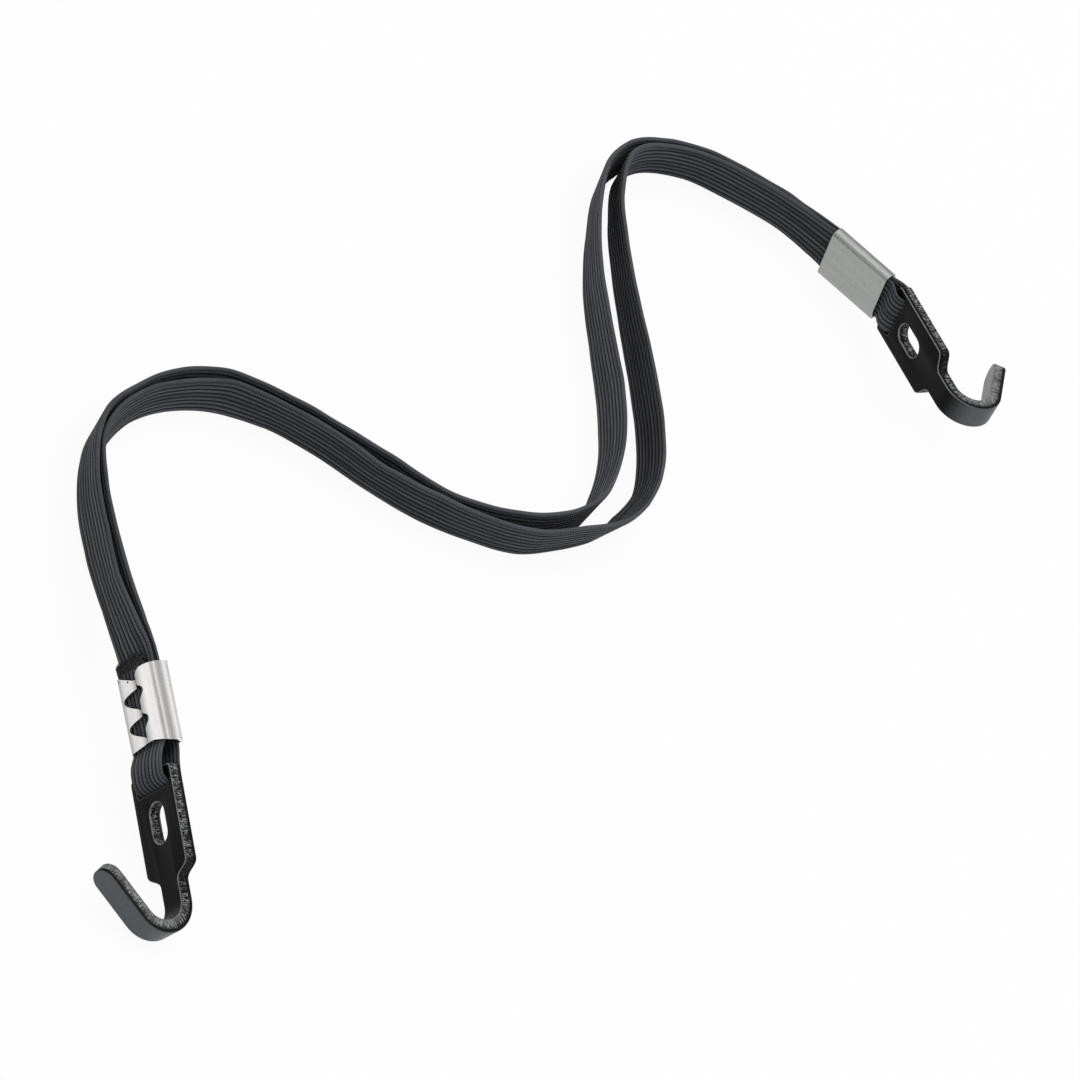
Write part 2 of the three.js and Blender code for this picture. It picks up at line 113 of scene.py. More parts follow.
FRONT_ROUTE = [
    (-41.5, -101.6, 10.9, 8.6), (-49.5, -93.7, 9.2, 9.5), (-57.4, -85, 7.2, 8),
    (-65.2, -75.8, 5.7, 7.2), (-70.7, -67.8, 5.7, 10), (-72.2, -59.7, 5.1, 12), (-71.4, -51, 5.1, 5),
    (-67.8, -42.4, 5.1, 0.5), (-61.3, -34.2, 5.1, -1.6), (-51.7, -28.7, 5.4, -10.5),
    (-41.4, -24.9, 5.1, -11), (-30.6, -22.7, 4.9, -12.1), (-19.4, -19.1, 5, -8.2),
    (-10.1, -14.4, 5.1, -10.5), (-1.6, -8.2, 5.1, -9.2), (4.4, 0.4, 5.8, -9), (8.4, 9, 5.5, -15.8),
    (9.2, 17, 5.2, -17.8), (8.2, 26, 5.3, -5), (2.9, 36.2, 5.2, 0), (-6.2, 47.8, 5.2, 4.4),
    (-15.9, 58.3, 5.5, 8.8), (-24.7, 69.3, 5, 12), (-32.3, 79.6, 5.3, 14.5), (-36.5, 88.9, 6.1, 8.5),
    (-34.2, 97.7, 5.4, -4), (-26.7, 104.5, 5.9, -8.8), (-16.2, 108.8, 6.3, -9),
    (-6.1, 112.2, 6, -10.5),
]


def unit(v):
    return v / np.linalg.norm(v)


def across(tangent, lean):
    """Upright direction square to a tangent, leaned to the left of it by an angle in degrees."""
    up = unit(np.array([0.0, 0.0, 1.0]) - tangent * tangent[2])
    a = -math.radians(lean)
    return up * math.cos(a) + np.cross(tangent, up) * math.sin(a)


class Place:
    """A spot with its own axes: u out along the strap, w across the band, n out of the front.

    A turn of 1 or -1 says which side of the band is its front.
    """

    def __init__(self, at, heading, pitch, lean, turn):
        h, p = math.radians(heading), math.radians(pitch)
        self.at = np.array(at) + CENTRE
        self.u = np.array([math.cos(h) * math.cos(p), math.sin(h) * math.cos(p), math.sin(p)])
        self.w = across(self.u, -lean * turn) * turn
        self.n = np.cross(self.u, self.w)
        self.lean = lean

    def point(self, along, outward):
        return self.at + self.u * along + self.n * outward

    def world(self, points):
        """Local millimetres to metres in the shared frame."""
        axes = np.stack([self.u, self.w, self.n])
        return (np.asarray(points) @ axes + self.at) * MM

    def local(self, points):
        """Metres in the shared frame to local millimetres."""
        axes = np.stack([self.u, self.w, self.n])
        return (np.asarray(points) / MM - self.at) @ axes.T


left_ferrule_place = Place((-31.7, -111.7, 10.2), -38, -11, -1, 1)
right_ferrule_place = Place((11.3, 111.2, 7.7), -14, 12.5, -8, -1)
left_hook_place = Place((-22.2, -122.9, 9.6), -38.3, -12.9, -5, 1)
right_hook_place = Place((21.9, 108.1, 9.8), -36.3, 9.4, -2.6, -1)


# Camera, set first so that everything else can be judged through it.
def add_camera():
    side = (math.cos(VIEW_TURN), math.sin(VIEW_TURN) * math.sin(VIEW_HEIGHT),
            math.sin(VIEW_TURN) * math.cos(VIEW_HEIGHT))
    up = (-math.sin(VIEW_TURN), math.cos(VIEW_TURN) * math.sin(VIEW_HEIGHT),
          math.cos(VIEW_TURN) * math.cos(VIEW_HEIGHT))
    back = (0.0, -math.cos(VIEW_HEIGHT), math.sin(VIEW_HEIGHT))
    data = bpy.data.cameras.new("photo_camera")
    data.lens = LENS
    data.sensor_width = SENSOR
    data.clip_end = VIEW_REACH
    camera = bpy.data.objects.new("photo_camera", data)
    turn = Matrix((side, up, back)).transposed().to_4x4()
    camera.matrix_world = Matrix.Translation(Vector(CENTRE * MM) + Vector(back) * VIEW_DISTANCE) @ turn
    bpy.context.scene.collection.objects.link(camera)
    bpy.context.scene.camera = camera


add_camera()


# Material graphs: Wire stands for a value in the tree, Graph makes the nodes.
class Wire:
    def __init__(self, graph, socket):
        self.graph = graph
        self.socket = socket

    def math(self, operation, *values):
        return self.graph.node("ShaderNodeMath", {"operation": operation}, *values)

    def __add__(self, other):
        return self.math("ADD", self, other)

    def __radd__(self, other):
        return self.math("ADD", other, self)

    def __sub__(self, other):
        return self.math("SUBTRACT", self, other)

    def __rsub__(self, other):
        return self.math("SUBTRACT", other, self)

    def __mul__(self, other):
        return self.math("MULTIPLY", self, other)

    def __rmul__(self, other):
        return self.math("MULTIPLY", other, self)

    def __truediv__(self, other):
        return self.math("DIVIDE", self, other)

    def clamp(self):
        return self.graph.node("ShaderNodeClamp", {}, self)

    def fract(self):
        return self.math("FRACT", self)

    def abs(self):
        return self.math("ABSOLUTE", self)

    def step(self, low, high):
        """Smooth rise from 0 at low to 1 at high."""
        settings = {"interpolation_type": "SMOOTHSTEP"}
        return self.graph.node("ShaderNodeMapRange", settings, self, low, high)


class Graph:
    def __init__(self, name):
        self.material = bpy.data.materials.new(name)
        self.material.use_nodes = True
        self.nodes = self.material.node_tree.nodes
        self.links = self.material.node_tree.links
        self.shader = self.nodes["Principled BSDF"]

    def make(self, kind, settings, sockets, out):
        """One node: its settings first, then the values or links of its sockets."""
        made = self.nodes.new(kind)
        for key, value in settings.items():
            setattr(made, key, value)
        for slot, value in sockets.items():
            self.feed(made.inputs[slot], value)
        return Wire(self, made.outputs[out])

    def node(self, kind, settings, *inputs, out=0, **named):
        return self.make(kind, settings, {**dict(enumerate(inputs)), **named}, out)

    def feed(self, socket, value):
        if isinstance(value, Wire):
            self.links.new(value.socket, socket)
        else:
            socket.default_value = value

    def mix(self, factor, first, second):
        """Mix of two colours, whose sockets come after those for numbers and vectors."""
        return self.make("ShaderNodeMix", {"data_type": "RGBA"}, {0: factor, 6: first, 7: second}, 2)

    def attribute(self, name):
        return self.node("ShaderNodeAttribute", {"attribute_name": name}, out="Fac")

    def noise(self, scale, detail, place=None):
        """Noise in the shared frame, or in another place that is given."""
        place = place or self.node("ShaderNodeTexCoord", {}, out="Object")
        return self.node("ShaderNodeTexNoise", {}, Vector=place, Scale=scale, Detail=detail)

    def flow(self, over, along, scale, detail):
        """Noise drawn out along a piece, from its own two surface measures."""
        return self.noise(scale, detail, self.node("ShaderNodeCombineXYZ", {}, over, along, 0.0))

    def bump(self, height, strength, distance):
        return self.node("ShaderNodeBump", {}, Strength=strength, Distance=distance, Height=height)

    def set(self, **values):
        for name, value in values.items():
            self.feed(self.shader.inputs[name.replace("_", " ")], value)
        return self.material


# Finishes: colours of each, and the pitch and slant of the knitted ticks in millimetres and ribs.
TICK_PITCH = 0.55
TICK_SLANT = 1.4
TICK_STAGGER = 0.37
BRAID_GROOVE_SHADE = (0.0075, 0.0082, 0.0100, 1)
BRAID_CREST = (0.112, 0.118, 0.136, 1)
PAINT_OUTER_REFLECTION = (0.104, 0.114, 0.122, 1)
PAINT_BORE_HIGHLIGHT = (0.20, 0.22, 0.24, 1)
PAINT_FLECK_GLINT = (0.36, 0.37, 0.38, 1)
PAINT_CORNER_HIGHLIGHT = (0.34, 0.35, 0.36, 1)
SHOULDER_REACH, SHOULDER_EASE = 0.1, 0.5


def grey(level, warm=0.0):
    return (level * (1 + warm), level, level * (1 - warm), 1.0)


def braid_material():
    """Charcoal braid: broad grey ribs, narrow grooves painted black as shade, fine knitted ticks along the
    ribs and selvedges painted lighter as a highlight.
    """
    g = Graph("braid")
    crest = g.attribute("Crest")
    edge = g.attribute("Selvedge")
    run = g.attribute("Run")
    lane = g.attribute("Lane")
    rib = lane.math("FLOOR", lane)
    slant = (lane.fract() - 0.5).abs() * TICK_SLANT
    tick = ((run / TICK_PITCH + slant + rib * TICK_STAGGER).fract() - 0.5).abs() * 2
    yarn = g.flow(lane * 3.0, run * 0.05, scale=2.0, detail=2)
    shade = g.flow(rib * 5.3, run * 0.02, scale=1.0, detail=2)
    fuzz = g.noise(scale=2400, detail=3)
    # Painted shade: the grooves between the ribs are coloured dark.
    ribbed = crest.step(0.5, 1.0) * (0.3 + 0.64 * tick + 0.8 * (yarn - 0.4))
    # Painted highlight: the selvedges are made lighter.
    level = ribbed * (2.9 * shade - 0.6).clamp() * (1 - 0.5 * edge) + edge * 0.22
    torn = g.attribute("Torn")
    tufts = g.noise(scale=1500, detail=3).step(0.4, 0.7)
    level = level * (1 - torn) + torn * tufts * 0.8
    level = (level + (fuzz - 0.5) * 0.25).clamp()
    colour = g.mix(level, BRAID_GROOVE_SHADE, BRAID_CREST)
    relief = tick * crest * (1 - edge) + fuzz * 0.8
    return g.set(Base_Color=colour, Roughness=0.72 + fuzz * 0.2, Specular_IOR_Level=0.2,
                 Sheen_Weight=0.06, Sheen_Roughness=0.5,
                 Normal=g.bump(relief, strength=0.55, distance=0.00012))


def rubber_material():
    g = Graph("rubber")
    grain = g.noise(scale=900, detail=2)
    return g.set(Base_Color=g.mix(grain, grey(0.03, 0.15), grey(0.055, 0.15)), Roughness=0.75)


def yarn_material():
    """Loose ends of the braid yarn."""
    g = Graph("loose_yarn")
    grain = g.noise(scale=1500, detail=2)
    return g.set(Base_Color=g.mix(grain, grey(0.008), grey(0.085)), Roughness=0.85,
                 Specular_IOR_Level=0.2)


def paint_material():
    """Black paint: smooth on the faces and shoulders, torn and flecked on the sheared edges, the flecks
    painted light grey as glints.
    Painted reflection makes the outside and the inside of the bend grey, a painted sheen lies on the
    bend's sheared edges, and painted highlights lie on the corners and on the rims of the oval hole."""
    g = Graph("black_paint")
    shear = g.attribute("Shear")
    depth = g.attribute("Depth")
    corner_highlight = g.attribute("CornerHighlight")
    bore = g.attribute("Bore")
    curl = g.attribute("Curl")
    flat_x = g.attribute("FlatX")
    place = g.node("ShaderNodeCombineXYZ", {}, flat_x * 1.5, g.attribute("FlatY"), depth * 0.4)
    tear = g.noise(scale=3.6, detail=5, place=place)
    patch = g.noise(scale=0.5, detail=2, place=place)
    pits = g.noise(scale=3600, detail=3)
    starts, ends = SHOULDER_START - SHOULDER_REACH, SHOULDER_END + SHOULDER_REACH
    shoulder = flat_x.step(starts - SHOULDER_EASE, starts + SHOULDER_EASE)
    shoulder = shoulder * (1 - flat_x.step(ends - SHOULDER_EASE, ends + SHOULDER_EASE))
    torn = shear * depth.step(-0.6, -0.05) * patch.step(0.25, 0.55) * (1 - 0.85 * shoulder)
    fleck_glints = (tear * 0.65 + pits * 0.35).step(0.47, 0.6) * torn
    # Painted reflection: the outside of the bend is grey, broken up in patches.
    reflection_breakup = g.noise(scale=1300, detail=4).step(0.5, 0.7) * 0.16
    base = g.mix(g.attribute("OuterReflection") * (1 - reflection_breakup), grey(0.003), PAINT_OUTER_REFLECTION)
    # Painted reflection: the inside of the J is light grey.
    base = g.mix(g.attribute("InnerReflection"), base, grey(0.26))
    # Painted sheen: the sheared edges round the bend are grey, in patches.
    base = g.mix(curl * shear * depth.step(-0.7, 0.5) * (0.3 + 0.7 * patch), base, grey(0.16))
    # Painted highlight: the oval hole's wall is lighter near its rims, in patches.
    rim = bore * shear * depth.abs().step(0.55, 0.9) * patch.step(0.3, 0.6)
    base = g.mix(rim, base, PAINT_BORE_HIGHLIGHT)
    # The torn paint flecks are painted light grey as glints.
    base = g.mix((fleck_glints * 0.85).clamp(), base, PAINT_FLECK_GLINT)
    # Painted highlight: the rounded corners are light grey, in patches.
    base = g.mix(corner_highlight * (0.25 + 0.6 * patch), base, PAINT_CORNER_HIGHLIGHT)
    relief = (tear + pits * 0.5) * (0.03 + torn)
    gloss = 0.34 + shear * 0.06 + (tear - 0.5) * 0.1
    return g.set(Base_Color=base, Roughness=gloss, Specular_IOR_Level=0.06,
                 Normal=g.bump(relief, strength=0.7, distance=0.0003))


def plated_material(name, tone, gloss, contrast, pitting, stripes):
    """Plated sheet: soft streaks along the strap, faint mottling, dark stripes of painted reflection and
    punch marks.
    """
    g = Graph(name)
    run = g.attribute("Run")
    lane = g.attribute("Lane")
    mark = g.attribute("Mark").step(0.35, 0.75)
    broad = g.flow(lane * 0.55 + 4.0, run * 0.02, scale=1.0, detail=1)
    fine = g.flow(lane * 4.0, run * 0.08, scale=1.0, detail=2)
    mottle = g.noise(scale=420, detail=3)
    speckle = g.noise(scale=1900, detail=2)
    level = (broad * 0.35 + fine * 0.25 + mottle * 0.2 + speckle * 0.2).step(0.38, 0.62)
    base = g.mix(level, tuple(c * (1 - contrast) for c in tone) + (1,), tone + (1,))
    # Painted reflection: dark stripes round the sheet dull the lamp's reflection.
    for at, width, strength in stripes:
        off = (lane - at) / width
        base = g.mix(off.math("EXPONENT", -1.0 * off * off) * strength, base, grey(0.0))
    pits = g.noise(scale=1700, detail=2).step(0.64, 0.72)
    base = g.mix((mark + pits * pitting).clamp(), base, grey(0.03))
    return g.set(Base_Color=base, Metallic=1.0, Roughness=gloss + (level - 0.5) * 0.08)


# Painted reflection: dark stripes of the left ferrule that dull the lamp's reflection: place round the
# sheet from the seam, width, strength.
SEAM_REFLECTION_STRIPES = [
    (1.0, 1.5, 0.5), (5.5, 0.6, 0.3), (5.95, 0.27, 0.37), (6.3, 0.45, 0.3), (6.5, 0.7, 0.7),
    (7.05, 0.35, 0.4), (7.45, 0.25, 0.2), (-0.2, 1.0, 0.4), (-3.5, 2.5, 0.14), (-5.4, 1.1, 0.48),
]
BRAID = braid_material()
RUBBER = rubber_material()
YARN = yarn_material()
PAINT = paint_material()
BRIGHT = plated_material("bright_plating", tone=(0.98, 0.965, 0.945), gloss=0.30, contrast=0.14,
                         pitting=0.1, stripes=SEAM_REFLECTION_STRIPES)
SATIN = plated_material("satin_plating", tone=(0.375, 0.385, 0.37), gloss=0.38, contrast=0.12,
                        pitting=0.35, stripes=[])


def add_piece(name, mesh, material, marks, smooth):
    """Object of a mesh, with the marks at its points that its material reads."""
    for key, values in marks.items():
        layer = mesh.attributes.new(key, "FLOAT", "POINT")
        layer.data.foreach_set("value", np.asarray(values, np.float32))
    mesh.polygons.foreach_set("use_smooth", [smooth] * len(mesh.polygons))
    mesh.materials.append(material)
    piece = bpy.data.objects.new(name, mesh)
    bpy.context.scene.collection.objects.link(piece)
    return piece


def add_mesh(name, points, faces, material, marks=None, smooth=True):
    mesh = bpy.data.meshes.new(name)
    mesh.from_pydata([tuple(p) for p in points], [], [tuple(f) for f in faces])
    return add_piece(name, mesh, material, marks or {}, smooth)


def outward(piece):
    """Turns the faces of a closed piece to the outside."""
    work = bmesh.new()
    work.from_mesh(piece.data)
    bmesh.ops.recalc_face_normals(work, faces=work.faces)
    if work.calc_volume(signed=True) < 0:
        bmesh.ops.reverse_faces(work, faces=work.faces)
    work.to_mesh(piece.data)
    work.free()


def settle(piece):
    """Keeps the evaluated mesh of a piece and drops its modifiers."""
    bpy.context.view_layer.update()
    seen = piece.evaluated_get(bpy.context.evaluated_depsgraph_get())
    mesh = bpy.data.meshes.new_from_object(seen)
    piece.modifiers.clear()
    piece.data = mesh
    return piece


# The flat band: stations along a route carry its width direction and how hard it is pressed.
# In a bend it spreads a little, and it never goes under the floor.
SPAN_STEPS = 12
SELVEDGE = 0.3
SELVEDGE_STEPS = 6
SELVEDGE_SINK = 0.6
SELVEDGE_CREST = 0.85
BAND_SWELL = 0.05
GROOVE = 0.25
GROOVE_SHAPE = 0.62
RIB_STEPS = 7
BACK_LANES = 20
BEND_SPREAD = 0.8
MOST_SPREAD = 0.065
BEND_WINDOW = 13
FLOOR_ROOM = 0.04
WAVER_LENGTHS = (9.0, 23.0, 41.0)
WAVER_ACROSS = 0.35
TORN_FADE = 0.8
THREAD_HALF = (0.42, 0.2)
THREAD_MARGIN = 0.4
THREAD_SKIP, THREAD_STEP = 2, 2

# Loops: squeeze of the width round the bar, how the legs leave the ferrule and the bar, and the
# numbers of stations.
LOOP_SQUEEZE = 0.82
FRONT_PULL = 0.3
FRONT_SPRING = 0.6
REAR_PULL = 0.4
FRONT_STEPS, LEG_STEPS, TURN_STEPS, REAR_STEPS = 40, 12, 25, 18


def catmull(points):
    """Centripetal curve through route points (x, y, z, lean, press), with tangents."""
    pts = [np.array(p[:3], float) for p in points]
    pts = [2 * pts[0] - pts[1]] + pts + [2 * pts[-1] - pts[-2]]
    out = []
    for i in range(1, len(pts) - 2):
        p0, p1, p2, p3 = pts[i - 1:i + 3]
        d0, d1, d2 = (np.linalg.norm(b - a) ** 0.5 for a, b in ((p0, p1), (p1, p2), (p2, p3)))
        m1 = ((p1 - p0) / d0 - (p2 - p0) / (d0 + d1) + (p2 - p1) / d1) * d1
        m2 = ((p2 - p1) / d1 - (p3 - p1) / (d1 + d2) + (p3 - p2) / d2) * d1
        last = i == len(pts) - 3
        for k in range(SPAN_STEPS + last):
            t = k / SPAN_STEPS
            at = (2 * t**3 - 3 * t**2 + 1) * p1 + (t**3 - 2 * t**2 + t) * m1
            at = at + (3 * t**2 - 2 * t**3) * p2 + (t**3 - t**2) * m2
            way = (6 * t**2 - 6 * t) * (p1 - p2) + (3 * t**2 - 4 * t + 1) * m1
            way = way + (3 * t**2 - 2 * t) * m2
            a, b = points[i - 1], points[i]
            lean = a[3] + (b[3] - a[3]) * t
            press = a[4] + (b[4] - a[4]) * t
            out.append((at, across(unit(way), lean), press))
    return out


def held(place, along, outward_by, shift):
    """Route point in a ferrule, off its middle by a shift across the band."""
    return (*(place.point(along, outward_by) + place.w * shift), place.lean, CRIMP)


def routed(route):
    return [(x + CENTRE[0], y + CENTRE[1], z, lean, 1.0) for x, y, z, lean in route]


def loop_stations(ferrule, hook, layers, reaches, shift, slide):
    """Band held in a ferrule, drawn round the bar of a hook and back into the ferrule.

    The front layer lies off the middle of the ferrule by a shift, the turn off the bar by a slide.
    """
    mouth = FERRULE_LENGTH / 2
    side = math.copysign(1, ferrule.w @ hook.w)
    out = []

    def add(at, blend):
        width = unit(ferrule.w * (1 - blend) + hook.w * side * blend)
        squeeze = 1 + (LOOP_SQUEEZE - 1) * blend
        out.append((at, width * squeeze, CRIMP + (LOOP_PRESS - CRIMP) * blend))

    def leg(start, end, going):
        pull = np.linalg.norm(end - start) * (FRONT_PULL if going else REAR_PULL)
        first = start + (unit(ferrule.u + ferrule.n * FRONT_SPRING) if going else -hook.u) * pull
        second = end + (-hook.u if going else ferrule.u) * pull
        for k in range(1, LEG_STEPS):
            t = k / LEG_STEPS
            at = (1 - t)**3 * start + 3 * (1 - t)**2 * t * first
            at = at + 3 * (1 - t) * t**2 * second + t**3 * end
            add(at, t if going else 1 - t)

    def front(along):
        return ferrule.point(along, layers[0]) + ferrule.w * shift

    def round_bar(turn):
        at = hook.point(LOOP_MIDDLE * math.sin(turn), LOOP_MIDDLE * math.cos(turn))
        return at + hook.w * slide

    for along in np.linspace(-mouth - reaches[0], mouth, FRONT_STEPS):
        add(front(along), 0)
    leg(front(mouth), round_bar(0), True)
    for turn in np.linspace(0, math.pi, TURN_STEPS):
        add(round_bar(turn), 1)
    leg(round_bar(math.pi), ferrule.point(mouth, layers[1]), False)
    for along in np.linspace(mouth, -mouth - reaches[1], REAR_STEPS):
        add(ferrule.point(along, layers[1]), 0)
    return out


def rib_section():
    """Outline of the ribbed band: across, through, crest height, selvedge share, lane."""
    rows = []
    flat = BAND_WIDTH / 2 - SELVEDGE + BAND_SWELL
    pitch = 2 * flat / RIBS
    for side in (1, -1):
        for rib in range(RIBS):
            for k in range(RIB_STEPS):
                f = k / RIB_STEPS
                x = side * (-flat + (rib + f) * pitch)
                swell = math.sin(math.pi * f) ** GROOVE_SHAPE
                z = side * (BAND_THICK / 2 - GROOVE * (1 - swell))
                rows.append((x, z, swell, 0.0, (rib + f) + (BACK_LANES if side < 0 else 0)))
        for k in range(SELVEDGE_STEPS + 1):
            a = math.pi / 2 - math.pi * k / SELVEDGE_STEPS
            x = side * (flat + SELVEDGE * math.cos(a))
            z = side * (BAND_THICK / 2 - GROOVE * SELVEDGE_SINK) * math.sin(a)
            rows.append((x, z, SELVEDGE_CREST, math.cos(a), RIBS + 0.5))
    return np.array(rows)


SECTION = rib_section()


def band_mesh(name, stations, waver=0.0, torn=0.0):
    """Closed braid round its stations: wavering by a share of its size, torn for a length at its start."""
    at = np.array([s[0] for s in stations])
    width = np.array([s[1] for s in stations])
    press = np.array([s[2] for s in stations])
    way = np.gradient(at, axis=0)
    through = np.cross(way, width)
    through = through / np.linalg.norm(through, axis=1)[:, None] * press[:, None]
    run = np.concatenate([[0], np.cumsum(np.linalg.norm(np.diff(at, axis=0), axis=1))])
    count, rows = len(at), len(SECTION)
    drift = np.zeros(count)
    for length in WAVER_LENGTHS:
        drift += np.sin(run / length * 2 * math.pi + rng.uniform(0, 6.28)) / len(WAVER_LENGTHS)
    bend = np.linalg.norm(np.gradient(way / np.linalg.norm(way, axis=1)[:, None], axis=0), axis=1)
    bend = np.pad(bend / np.gradient(run), BEND_WINDOW // 2, mode="edge")
    bend = np.convolve(bend, np.ones(BEND_WINDOW) / BEND_WINDOW, mode="valid")
    spread = 1 + np.minimum(bend * BEND_SPREAD, MOST_SPREAD)
    x = SECTION[None, :, 0] * (spread * (1 + waver * WAVER_ACROSS * drift))[:, None]
    z = SECTION[None, :, 1] * (1 + waver * drift[::-1, None])
    points = at[:, None, :] + width[:, None, :] * x[..., None] + through[:, None, :] * z[..., None]
    points[..., 2] += np.maximum(FLOOR_ROOM - points[..., 2].min(axis=1), 0)[:, None]
    points = points.reshape(-1, 3) * MM
    faces = []
    for i in range(count - 1):
        a, b = i * rows, (i + 1) * rows
        for k in range(rows):
            m = (k + 1) % rows
            faces.append((a + k, a + m, b + m, b + k))
    faces.append(tuple(range(rows)))
    faces.append(tuple(range((count - 1) * rows, count * rows))[::-1])
    marks = {
        "Crest": np.tile(SECTION[:, 2], count),
        "Selvedge": np.tile(SECTION[:, 3], count),
        "Lane": np.tile(SECTION[:, 4], count),
        "Run": np.repeat(run, rows),
        "Torn": np.repeat(np.clip((torn - run) / TORN_FADE, 0, 1), rows),
    }
    piece = add_mesh(name, points, faces, BRAID, marks)
    outward(piece)
    return piece, at * MM, run[-1] * MM


def thread_mesh(name, stations):
    """The rubber threads of one strand, inside its cover."""
    pitch = (BAND_WIDTH - THREAD_MARGIN) / RIBS
    half_x, half_z = THREAD_HALF
    corners = ((-half_x, -half_z), (half_x, -half_z), (half_x, half_z), (-half_x, half_z))
    points, faces = [], []
    way = np.gradient(np.array([s[0] for s in stations]), axis=0)
    chosen = range(THREAD_SKIP, len(stations) - THREAD_SKIP, THREAD_STEP)
    for lane in range(RIBS):
        middle = (lane - (RIBS - 1) / 2) * pitch
        first = len(points)
        for i in chosen:
            at, width, press = stations[i]
            through = unit(np.cross(way[i], width)) * press
            for x, z in corners:
                points.append((at + width * (middle + x) + through * z) * MM)
        for i in range(len(chosen) - 1):
            a, b = first + 4 * i, first + 4 * i + 4
            faces.extend((a + k, a + (k + 1) % 4, b + (k + 1) % 4, b + k) for k in range(4))
        faces.append((first, first + 1, first + 2, first + 3))
        last = len(points) - 4
        faces.append((last + 3, last + 2, last + 1, last))
    piece = add_mesh(name, points, faces, RUBBER, smooth=False)
    outward(piece)
    return piece


# Strands: places along the ferrules where they are held, and how far off the ferrules' middle.
LEAD = MOUTH - GAP - STRAIGHT_LEAD
INSIDE = MOUTH + 1.0
THROUGH = (-0.8 * MOUTH, -0.4 * MOUTH, 0.0)
LEFT_SHIFT = -0.6
LEAD_SHIFT = -0.9
RIGHT_SHIFT = -0.5
STRAND_WAVER = 0.05
STRETCH_LEAD = 2.0
back_points = [held(left_ferrule_place, x, 0, LEFT_SHIFT) for x in THROUGH]
back_points += [held(left_ferrule_place, LEAD, 0, LEAD_SHIFT)] + routed(BACK_ROUTE)
back_points += [held(right_ferrule_place, x, LAYER_PITCH / 2, RIGHT_SHIFT) for x in (LEAD, INSIDE)]
front_points = [held(left_ferrule_place, INSIDE, -LAYER_PITCH, LEFT_SHIFT)]
front_points += [held(left_ferrule_place, LEAD, -LAYER_PITCH, LEAD_SHIFT)]
front_points += routed(FRONT_ROUTE)
front_points += [held(right_ferrule_place, x, -LAYER_PITCH / 2, RIGHT_SHIFT) for x in (LEAD, INSIDE)]

chord_start = right_ferrule_place.point(LEAD, 0) * MM
chord_end = left_ferrule_place.point(LEAD - STRETCH_LEAD, 0) * MM
for strand, points in (("back_strand", back_points), ("front_strand", front_points)):
    stations = catmull(points)
    cover, line, length = band_mesh(f"{strand}_braid", stations, waver=STRAND_WAVER)
    threads = thread_mesh(f"{strand}_rubber", stations)
    for piece in (cover, threads):
        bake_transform(piece)
    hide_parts(f"{strand}_cover")
    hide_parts(*[f"{strand}_thread_{i + 1}" for i in range(RIBS)])

# Cut end above the left ferrule: its slant (across, along) and the loose yarn that stands out of it.
STUB_CUT = ((-6.0, -5.0, 0.9, 2.1, 3.2, 6.0), (-9.6, -9.75, -10.0, -9.2, -6.4, -6.2))
STUB_FLARE = 0.07
STUB_REACH = STUB + 0.35
STUB_TORN = STUB + 0.6
FIBRES = 900
FIBRE_LENGTH = 0.4
FIBRE_RADIUS = 0.035
FIBRE_BEND = (0.35, 0.0, 0.5)
FIBRE_SHAKE = (0.6, 0.6, 3.1)
FIBRE_SIZES = ((0.8, 0.8, 0.5), (1.2, 1.2, 1.5))
FRAY_ACROSS = (-5.1, 2.9)
FRAY_HEIGHT = (-0.6, 1.0)
FRAY_DEPTH = 2.4
FRAY_THINNING = 1.4
FRAY_EDGE = 0.15
FRAY_SINK = 0.06
FRAY_LIFT = 0.45
FRAY_SPREAD = 0.5

# Ends of the loops' layers short of the ferrule's far mouth, and their slide along the bar.
LAYER_END = -2.0
LOOP_SLIDE = 0.25


def cut_stub(piece, place):
    """Slants the cut end, so that its upper corner goes down into the ferrule."""
    flat = np.empty(len(piece.data.vertices) * 3)
    piece.data.vertices.foreach_get("co", flat)
    local = place.local(flat.reshape(-1, 3))
    stub = (local[:, 0] < INSIDE) & (local[:, 2] > 0)
    limit = np.interp(local[:, 1], *STUB_CUT)
    local[stub, 0] = np.maximum(local[stub, 0], limit[stub])
    local[stub, 1] *= 1 + STUB_FLARE * np.clip((MOUTH - local[stub, 0]) / STUB, 0, 1)
    piece.data.vertices.foreach_set("co", place.world(local).ravel())
    piece.data.update()


